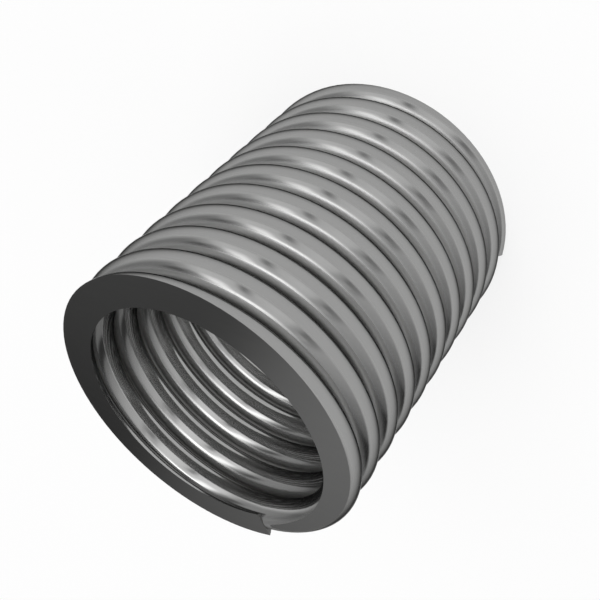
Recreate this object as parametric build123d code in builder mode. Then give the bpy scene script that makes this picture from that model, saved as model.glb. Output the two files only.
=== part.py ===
from build123d import *
import os

# Helical compression spring of round steel wire (mm), wound right-handed with closed and ground ends.
# It stands on its lower ground face: Z is the coil axis and the origin is the middle of that face.

# Driving dimensions
wire_diameter = 4.0
mean_diameter = 34.0
active_turns = 8.83
closed_turns = 1.0
coil_gap = 0.38
closed_gap = 0.02
tip_thickness = 0.55

# Sizes that follow from them
wire_radius = wire_diameter / 2
mean_radius = mean_diameter / 2
active_pitch = wire_diameter + coil_gap
closed_pitch = wire_diameter + closed_gap
ground_depth = wire_radius - tip_thickness

# The winding in three stages, from the lower tip upwards: the turns and the pitch of each
stages = [
    (closed_turns, closed_pitch),
    (active_turns, active_pitch),
    (closed_turns, closed_pitch),
]
wound_height = sum(turns * pitch for turns, pitch in stages)
free_length = wound_height - 2 * ground_depth

with BuildPart() as compression_spring:
    # The wire's centre line starts below the ground face, because grinding takes most of the tip away
    with BuildLine() as centre_line:
        start_height = -ground_depth
        start_turns = 0
        for turns, pitch in stages:
            rise = turns * pitch
            stage = Helix(pitch, rise, mean_radius, center=(0, 0, start_height), mode=Mode.PRIVATE)
            add(stage.rotate(Axis.Z, 360 * start_turns))
            start_height += rise
            start_turns += turns
    # The wire's round section, drawn in the plane through the coil axis and carried along the winding
    wire_end = Plane(origin=centre_line.line @ 0, x_dir=(1, 0, 0), z_dir=(0, 1, 0))
    with BuildSketch(wire_end) as section:
        Circle(wire_radius)
    sweep(sections=section.sketch, path=centre_line.wire(), is_frenet=True)
    # Both ends are ground flat and square to the axis, which thins each closed coil down to its tip
    split(bisect_by=Plane.XY, keep=Keep.TOP)
    split(bisect_by=Plane.XY.offset(free_length), keep=Keep.BOTTOM)

compression_spring.part.label = "compression_spring"
os.makedirs("parts", exist_ok=True)
export_step(compression_spring.part, "parts/compression_spring.step")
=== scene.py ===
import bmesh
import bpy
import math
import numpy as np
from mathutils import Matrix, Vector


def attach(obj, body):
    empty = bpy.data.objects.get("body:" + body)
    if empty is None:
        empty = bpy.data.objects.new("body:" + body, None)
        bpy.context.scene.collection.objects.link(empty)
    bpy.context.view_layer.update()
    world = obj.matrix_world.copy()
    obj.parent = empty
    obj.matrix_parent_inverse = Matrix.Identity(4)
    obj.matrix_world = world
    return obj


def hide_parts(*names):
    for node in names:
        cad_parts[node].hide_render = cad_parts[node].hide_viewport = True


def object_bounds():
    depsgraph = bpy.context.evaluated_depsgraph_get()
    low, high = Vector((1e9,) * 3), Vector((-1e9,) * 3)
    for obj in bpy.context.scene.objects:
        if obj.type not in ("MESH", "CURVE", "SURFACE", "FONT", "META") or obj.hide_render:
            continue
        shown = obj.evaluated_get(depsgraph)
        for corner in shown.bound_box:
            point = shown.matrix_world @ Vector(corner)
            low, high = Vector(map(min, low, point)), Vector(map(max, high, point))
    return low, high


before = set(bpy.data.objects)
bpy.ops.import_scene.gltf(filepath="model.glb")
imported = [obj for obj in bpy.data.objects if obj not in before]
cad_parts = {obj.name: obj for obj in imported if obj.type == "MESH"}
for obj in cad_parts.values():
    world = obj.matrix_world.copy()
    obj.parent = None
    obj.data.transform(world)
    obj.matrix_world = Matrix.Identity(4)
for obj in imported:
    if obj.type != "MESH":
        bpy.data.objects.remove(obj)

cad_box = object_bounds()


# The spring is one round wire of spring steel, wound right-handed over a mandrel, nearly coil to coil.
# The pitch drops towards both ends, so that the last coils close, and both ends are ground flat.
# The upper end coil is pressed onto the coil below it, which leaves a hollow seat along its lower side.
wire_radius = 0.002
coil_radius = 0.017
free_length = cad_box[1][2] - cad_box[0][2]
turns = 10.83

# How far the wire's middle lies past the ground plane at each tip
upper_tip_depth = 0.00085
lower_tip_depth = 0.0009

# The pitch of the closing coils, in metres a turn, at so many degrees back from each tip.
# The last angle of each row is where the open pitch begins.
upper_angles = (0.0, 185.0, 225.0, 290.0, 325.0, 350.0, 365.0, 600.0, 640.0)
upper_pitches = (0.00153, 0.00153, 0.005, 0.0053, 0.004, 0.0032, 0.0041, 0.0041)
lower_angles = (0.0, 340.0, 370.0)
lower_pitches = (0.00402, 0.00402)

# The seat is this much wider than the wire that lies in it, and runs no further back than this
seat_clearance = 0.00002
seat_angle = 200.0

# The mesh has so many sections a turn, with so many points on each side of the wire and across each flat
sections_per_turn = 96
side_points = 24
flat_points = 8
section_count = int(round(turns * sections_per_turn))
section_size = 2 * (side_points + flat_points)
winding = np.linspace(0.0, 360.0 * turns, section_count + 1)
section_step = winding[1] - winding[0]


def wind(open_pitch):
    upper = np.interp(winding[-1] - winding, upper_angles, upper_pitches + (open_pitch,))
    lower = np.interp(winding, lower_angles, lower_pitches + (open_pitch,))
    pitch = np.where(winding > winding[-1] / 2, upper, lower)
    rises = (pitch[1:] + pitch[:-1]) / 2 * section_step / 360.0
    return np.concatenate(((0.0,), np.cumsum(rises))) - lower_tip_depth


# The open pitch is the one that brings the upper tip to its height. The height grows evenly with the
# pitch, so two trial windings give it.
trial_pitches = (0.004, 0.005)
shallow, steep = [wind(pitch)[-1] for pitch in trial_pitches]
missing = (free_length + upper_tip_depth - shallow) / (steep - shallow)
heights = wind(trial_pitches[0] + (trial_pitches[1] - trial_pitches[0]) * missing)


def wire_side(middle, start, end, facing):
    side = []
    for share in np.linspace(0.0, 1.0, side_points):
        lean = start + (end - start) * share
        side.append((facing * wire_radius * math.cos(lean), middle + wire_radius * math.sin(lean)))
    return side


def flat_across(middle, lean, facing):
    half = facing * wire_radius * math.cos(lean)
    height = middle + wire_radius * math.sin(lean)
    return [(half * (1 - 2 * share), height) for share in np.linspace(0.0, 1.0, flat_points + 2)[1:-1]]


def seat_across(below, reach, edge):
    seat = []
    for share in np.linspace(0.0, 1.0, flat_points + 2)[1:-1]:
        lean = math.pi - edge - (math.pi - 2 * edge) * share
        seat.append((reach * math.cos(lean), below + reach * math.sin(lean)))
    return seat


# Each section is the wire's circle, cut by the ground planes and by the coil below. Every point keeps its
# place along the wire, outwards from the wire's middle and above it, for the steel's own grain and for the
# painted light on its flanks and inner side.
points = []
wire_run = []
for number in range(section_count + 1):
    turn_angle = math.radians(winding[number])
    middle = heights[number]
    low = -math.pi / 2
    high = math.pi / 2
    if middle + wire_radius > free_length:
        high = math.asin(max(-1.0, (free_length - middle) / wire_radius))
    if middle - wire_radius < 0.0:
        low = math.asin(min(1.0, -middle / wire_radius))
    seat = None
    if winding[-1] - winding[number] < seat_angle:
        below = heights[number - sections_per_turn]
        apart = middle - below
        reach = wire_radius + seat_clearance
        if apart < wire_radius + reach:
            crossing = (apart * apart + reach * reach - wire_radius * wire_radius) / (2 * apart)
            low = math.asin(max(-1.0, (crossing - apart) / wire_radius))
            seat = seat_across(below, reach, math.asin(crossing / reach))
    section = wire_side(middle, low, high, 1.0)
    section += flat_across(middle, high, 1.0)
    section += wire_side(middle, high, low, -1.0)
    section += seat or flat_across(middle, low, -1.0)
    for outwards, height in section:
        span = coil_radius + outwards
        points.append((span * math.cos(turn_angle), span * math.sin(turn_angle), height))
        wire_run.append((coil_radius * turn_angle, outwards, height - middle))

faces = []
for number in range(section_count):
    start = number * section_size
    for corner in range(section_size):
        here = start + corner
        after = start + (corner + 1) % section_size
        faces.append((here, here + section_size, after + section_size, after))
last = section_count * section_size
faces.append(tuple(range(section_size)))
faces.append(tuple(last + corner for corner in reversed(range(section_size))))

spring_mesh = bpy.data.meshes.new("spring_wire")
spring_mesh.from_pydata(points, [], faces)
run = spring_mesh.attributes.new("wire_run", "FLOAT_VECTOR", "POINT")
run.data.foreach_set("vector", np.array(wire_run).ravel())

# Points that fall together at the thin edges are joined. Then each face is sorted by its finish:
# 0 is drawn, 1 is ground and 2 is cut, which is only the many-sided face at each tip.
same_point = 0.0000005
on_ground_plane = 0.000001
level_normal = 0.9999
most_sides = 8
sharp_edge = math.radians(14)
cleaned = bmesh.new()
cleaned.from_mesh(spring_mesh)
bmesh.ops.remove_doubles(cleaned, verts=cleaned.verts, dist=same_point)
bmesh.ops.recalc_face_normals(cleaned, faces=cleaned.faces)
for face in cleaned.faces:
    height = face.calc_center_median().z
    at_end = height < on_ground_plane or height > free_length - on_ground_plane
    face.smooth = True
    face.material_index = 1 if at_end and abs(face.normal.z) > level_normal else 0
    if len(face.verts) > most_sides:
        face.material_index = 2
cleaned.to_mesh(spring_mesh)
cleaned.free()
spring_mesh.set_sharp_from_angle(angle=sharp_edge)
spring = bpy.data.objects.new("spring_wire", spring_mesh)
bpy.context.collection.objects.link(spring)


# A value stands for one socket of a shader, so that a sum on values adds its Math nodes.
class Value:
    def __init__(self, tree, socket=None):
        self.tree = tree
        self.socket = socket

    def node(self, kind, settings=None, sockets=None, out=0):
        made = self.tree.nodes.new(kind)
        for name, setting in (settings or {}).items():
            if name == "stops":
                ramp = made.color_ramp
                ramp.interpolation = "EASE"
                while len(ramp.elements) < len(setting):
                    ramp.elements.new(1.0)
                for element, (place, level) in zip(ramp.elements, setting):
                    element.position = place
                    element.color = (level, level, level, 1.0)
            else:
                setattr(made, name, setting)
        for name, given in (sockets or {}).items():
            if isinstance(given, Value):
                self.tree.links.new(given.socket, made.inputs[name])
            else:
                made.inputs[name].default_value = given
        return Value(self.tree, made.outputs[out]) if made.outputs else None

    def maths(self, operation, first, second=0.0):
        return self.node("ShaderNodeMath", {"operation": operation}, {0: first, 1: second})

    def __add__(self, other):
        return self.maths("ADD", self, other)

    __radd__ = __add__

    def __mul__(self, other):
        return self.maths("MULTIPLY", self, other)

    __rmul__ = __mul__

    def __sub__(self, other):
        return self.maths("SUBTRACT", self, other)

    def __rsub__(self, other):
        return self.maths("SUBTRACT", other, self)


def new_material(name):
    made = bpy.data.materials.new(name)
    made.use_nodes = True
    made.node_tree.nodes.clear()
    return made, Value(made.node_tree)


def between(start, end, value, low=0.0, high=1.0):
    return value.node(
        "ShaderNodeMapRange",
        {"interpolation_type": "SMOOTHSTEP"},
        {0: value, 1: start, 2: end, 3: low, 4: high},
    )


def steel_colour(share, first, second):
    return share.node(
        "ShaderNodeMix",
        {"data_type": "RGBA"},
        {"Factor": share, "A": first, "B": second},
        "Result",
    )


def fine_noise(place, scale, detail):
    return place.node("ShaderNodeTexNoise", {}, {"Vector": place, "Scale": scale, "Detail": detail}, "Fac")


# Drawn steel has fine lines along the wire from the drawing die. The coiling rolls burnish the crest of
# each coil, and its flanks are left duller. The flanks and the side that lay on the mandrel are painted a
# paler grey: painted light that lifts the shade between the coils and in the bore.
burnished_dark = (0.3, 0.3, 0.297, 1.0)
burnished_pale = (0.33, 0.33, 0.327, 1.0)
# Painted light: a paler grey for the flanks and the inner side, where the coils shade each other
painted_light_grey = (0.5, 0.5, 0.495, 1.0)
grazing_tint = (0.1, 0.1, 0.1, 1.0)
die_mark_scale = (60.0, 6000.0, 6000.0)
mottle_scale = 450.0

# The painted light and the dullness grow between these two heights on the flank, as shares of the wire's
# radius
painted_light_starts, painted_light_whole = 0.7, 0.92
dull_starts, dull_whole = 0.68, 0.9
flank_dullness = 0.24
# How strongly the inner side, facing the bore, takes the painted light, and how wide its edge blends
inner_painted_light = 0.6
inner_side_blend = 0.0002

drawn_steel, tree = new_material("drawn_spring_steel")
along = tree.node("ShaderNodeAttribute", {"attribute_name": "wire_run"}, out="Vector")
die_marks = tree.node("ShaderNodeMapping", {}, {"Vector": along, "Scale": die_mark_scale})
lines = fine_noise(die_marks, 1.0, 3.0)
mottle = fine_noise(along, mottle_scale, 4.0)
aside = tree.node("ShaderNodeSeparateXYZ", {}, {"Vector": along}, "Z")
flank = tree.maths("ABSOLUTE", aside) * (1 / wire_radius)
outwards = tree.node("ShaderNodeSeparateXYZ", {}, {"Vector": along}, "Y")
# Painted light: the flanks beside the neighbouring coils and the inner side facing the bore are mixed
# towards the paler grey, which lifts the shade in the creases and the bore
inner_side_mask = between(-inner_side_blend, inner_side_blend, outwards, 1.0, 0.0)
painted_light_mask = tree.maths("MAXIMUM", between(painted_light_starts, painted_light_whole, flank), inner_side_mask * inner_painted_light)
colour = steel_colour(lines, burnished_dark, burnished_pale)
colour = steel_colour(painted_light_mask, colour, painted_light_grey)
bump = tree.node("ShaderNodeBump", {}, {"Strength": 0.15, "Distance": 0.00001, "Height": lines})
dull_flank = between(dull_starts, dull_whole, flank) * flank_dullness
surface = tree.node(
    "ShaderNodeBsdfPrincipled",
    {},
    {
        "Base Color": colour,
        "Metallic": 0.97,
        "Roughness": 0.1 + 0.05 * mottle + dull_flank,
        "Specular Tint": grazing_tint,
        "Normal": bump,
    },
)
tree.node("ShaderNodeOutputMaterial", {}, {"Surface": surface})

# Ground steel shows the straight, fine scratches of the grinding wheel across the whole end.
ground_dark = (0.29, 0.29, 0.287, 1.0)
ground_pale = (0.33, 0.33, 0.327, 1.0)
wheel_angle = 0.6
wheel_mark_scale = (300.0, 9000.0, 300.0)

ground_steel, tree = new_material("ground_spring_steel")
place = tree.node("ShaderNodeTexCoord", {}, out="Object")
wheel_marks = tree.node(
    "ShaderNodeMapping",
    {},
    {"Vector": place, "Rotation": (0.0, 0.0, wheel_angle), "Scale": wheel_mark_scale},
)
scratches = fine_noise(wheel_marks, 1.0, 3.0)
colour = steel_colour(scratches, ground_dark, ground_pale)
bump = tree.node("ShaderNodeBump", {}, {"Strength": 0.1, "Distance": 0.00001, "Height": scratches})
surface = tree.node(
    "ShaderNodeBsdfPrincipled",
    {},
    {
        "Base Color": colour,
        "Metallic": 1.0,
        "Roughness": 0.15 + 0.06 * scratches,
        "Specular Tint": grazing_tint,
        "Normal": bump,
    },
)
tree.node("ShaderNodeOutputMaterial", {}, {"Surface": surface})

# Each tip was cut off with a shear before the grinding, which leaves a dull, torn face.
torn_dark = (0.1, 0.1, 0.098, 1.0)
torn_pale = (0.17, 0.17, 0.167, 1.0)
tear_scale = 4000.0

cut_steel, tree = new_material("cut_spring_steel")
place = tree.node("ShaderNodeTexCoord", {}, out="Object")
tear = fine_noise(place, tear_scale, 3.0)
colour = steel_colour(tear, torn_dark, torn_pale)
bump = tree.node("ShaderNodeBump", {}, {"Strength": 0.4, "Distance": 0.00003, "Height": tear})
surface = tree.node(
    "ShaderNodeBsdfPrincipled",
    {},
    {"Base Color": colour, "Metallic": 0.9, "Roughness": 0.4 + 0.15 * tear, "Normal": bump},
)
tree.node("ShaderNodeOutputMaterial", {}, {"Surface": surface})

for steel in (drawn_steel, ground_steel, cut_steel):
    spring_mesh.materials.append(steel)
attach(spring, "root")
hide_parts("compression_spring")


# The floor is a plain pale sheet under the spring, so wide that its edge is never seen.
# It is white where the camera or the metal looks at it, and it keeps the spring's faint soft shadow.
floor_radius = 1.5
floor_corners = 96
floor_white = (0.95, 0.95, 0.95, 1.0)
full_white = (1.0, 1.0, 1.0, 1.0)
glow_share = 0.75

rim = []
for number in range(floor_corners):
    turn_angle = 2 * math.pi * number / floor_corners
    rim.append((floor_radius * math.cos(turn_angle), floor_radius * math.sin(turn_angle), 0.0))
floor_mesh = bpy.data.meshes.new("floor")
floor_mesh.from_pydata(rim, [], [tuple(range(floor_corners))])
floor = bpy.data.objects.new("floor", floor_mesh)
bpy.context.collection.objects.link(floor)

white_floor, tree = new_material("white_floor")
seen = tree.node("ShaderNodeLightPath", out="Is Camera Ray")
seen = seen + tree.node("ShaderNodeLightPath", out="Is Glossy Ray")
seen = seen + tree.node("ShaderNodeLightPath", out="Is Transmission Ray")
sheet = tree.node("ShaderNodeBsdfDiffuse", {}, {"Color": floor_white})
glow = tree.node("ShaderNodeEmission", {}, {"Color": full_white, "Strength": 1.0})
surface = tree.node("ShaderNodeMixShader", {}, {0: glow_share * seen, 1: sheet, 2: glow})
tree.node("ShaderNodeOutputMaterial", {}, {"Surface": surface})
floor_mesh.materials.append(white_floor)


# The studio is a round of pale walls with a broad soft light overhead, and narrow dark cards between
# them that put the dark bands and spots on the metal. It is all in the world's light.
# Where the walls meet the floor they are as white as the floor, which hides the horizon.
studio = bpy.data.worlds.new("studio")
bpy.context.scene.world = studio
studio.use_nodes = True
studio.node_tree.nodes.clear()
tree = Value(studio.node_tree)
sky = tree.node("ShaderNodeTexCoord", out="Generated")
east, north, tall = [tree.node("ShaderNodeSeparateXYZ", {}, {"Vector": sky}, axis) for axis in "XYZ"]
bearing = tree.maths("FRACT", tree.maths("ARCTAN2", north, east) * (0.5 / math.pi) + 1.0)

# The light of the walls and of the overhead, at so many degrees round from east towards north
walls = (
    (0, 0.55), (10, 0.62), (28, 0.7), (36, 0.44), (44, 0.33), (50, 0.66), (56, 1.02), (66, 1.08),
    (82, 1.0), (91, 0.34), (98, 1.05), (120, 1.13), (127, 0.98), (133, 0.7), (143, 0.42), (150, 0.38),
    (165, 0.38), (180, 0.36), (195, 0.31), (207, 0.17), (224, 0.14), (239, 0.11), (248, 0.33), (254, 0.39),
    (266, 0.34), (280, 0.27), (294, 0.25), (303, 0.04), (315, 0.04), (325, 0.26), (345, 0.42), (360, 0.55),
)
overhead = (
    (0, 0.42), (28, 0.6), (48, 1.15), (62, 1.7), (80, 2.6), (98, 3.05), (112, 2.8), (124, 1.85),
    (140, 1.05), (165, 0.65), (200, 0.4), (230, 0.3), (290, 0.3), (324, 0.4), (345, 0.42),
)
narrow_card = ((0, 0.0), (83, 0.0), (91, 1.0), (99, 0.0))
crown_light = 3.3
studio_level = 1.15

# A ramp holds nothing over 1, so it takes each light as a share of this one
ramp_full = 4.0


def round_studio(stops, full):
    ramp = [(angle / 360, level / full) for angle, level in stops]
    return tree.node("ShaderNodeValToRGB", {"stops": ramp}, {0: bearing})


def rising(start, end):
    return between(start / 360, end / 360, bearing)


def falling(start, end):
    return between(start / 360, end / 360, bearing, 1.0, 0.0)


def higher(start, end):
    return between(start, end, tall)


def lower(start, end):
    return between(start, end, tall, 1.0, 0.0)


# Bearings are in degrees, and heights are the sine of the angle above the floor.
# The dark cards at 44 and 91 degrees fade upwards. A strip light stands high at about 113 degrees, and
# the wall beyond it is dimmed.
level = round_studio(walls, ramp_full) * (ramp_full * studio_level)
level = level + 0.66 * round_studio(narrow_card, 1.0) * higher(0.4, 0.7)
level = level + 0.42 * rising(32, 40) * falling(43, 51) * higher(0.45, 0.7)
level = level + 1.15 * rising(100, 110) * falling(117, 131) * higher(0.42, 0.72)
level = level - 0.34 * rising(119, 128) * falling(145, 160) * higher(0.42, 0.62)

# The overhead begins above the walls and ends in an even crown.
ceiling = round_studio(overhead, ramp_full) * (ramp_full * studio_level)
over = higher(0.785, 0.885)
level = level * (1.0 - over) + ceiling * over
crown = higher(0.9, 0.98)
level = level * (1.0 - crown) + crown_light * crown

# The white foot of the walls is low all round, and slopes up gently on the shaded side.
foot = lower(0.06, 0.2)
slope = lower(0.0, 0.36) * rising(125, 145) * falling(215, 235)
foot = tree.maths("MAXIMUM", foot, slope)
level = level * (1.0 - foot) + foot
light = tree.node("ShaderNodeBackground", {}, {"Color": full_white, "Strength": level})
tree.node("ShaderNodeOutputWorld", {}, {"Surface": light})
bpy.context.scene.view_settings.view_transform = "Standard"


# The camera looks down on the upper ground face from beside the spring.
# It is turned about its line of sight, so that the coil axis leans across the picture.
view_azimuth = -3.6217
view_elevation = 0.64537
view_roll = -2.43215
camera_place = (0.034909, 0.067793, 0.085326)
nearest_view = 0.001

# The picture is square. The line of sight meets it a little off its middle, all in pixels.
picture_width = 600.0
focal_pixels = 786.3
sight_right = 272.0
sight_down = 328.25
sensor_width = 36.0

back = Vector((
    math.sin(view_azimuth) * math.cos(view_elevation),
    -math.cos(view_azimuth) * math.cos(view_elevation),
    math.sin(view_elevation),
))
level_right = Vector((math.cos(view_azimuth), math.sin(view_azimuth), 0.0))
level_up = back.cross(level_right)
right = math.cos(view_roll) * level_right + math.sin(view_roll) * level_up
up = math.cos(view_roll) * level_up - math.sin(view_roll) * level_right

camera_data = bpy.data.cameras.new("camera")
camera_data.sensor_width = sensor_width
camera_data.lens = sensor_width * focal_pixels / picture_width
camera_data.shift_x = (picture_width / 2 - sight_right) / picture_width
camera_data.shift_y = (sight_down - picture_width / 2) / picture_width
camera_data.clip_start = nearest_view
camera = bpy.data.objects.new("camera", camera_data)
bpy.context.collection.objects.link(camera)
camera.matrix_world = Matrix((
    (right.x, up.x, back.x, camera_place[0]),
    (right.y, up.y, back.y, camera_place[1]),
    (right.z, up.z, back.z, camera_place[2]),
    (0.0, 0.0, 0.0, 1.0),
))
bpy.context.scene.camera = camera
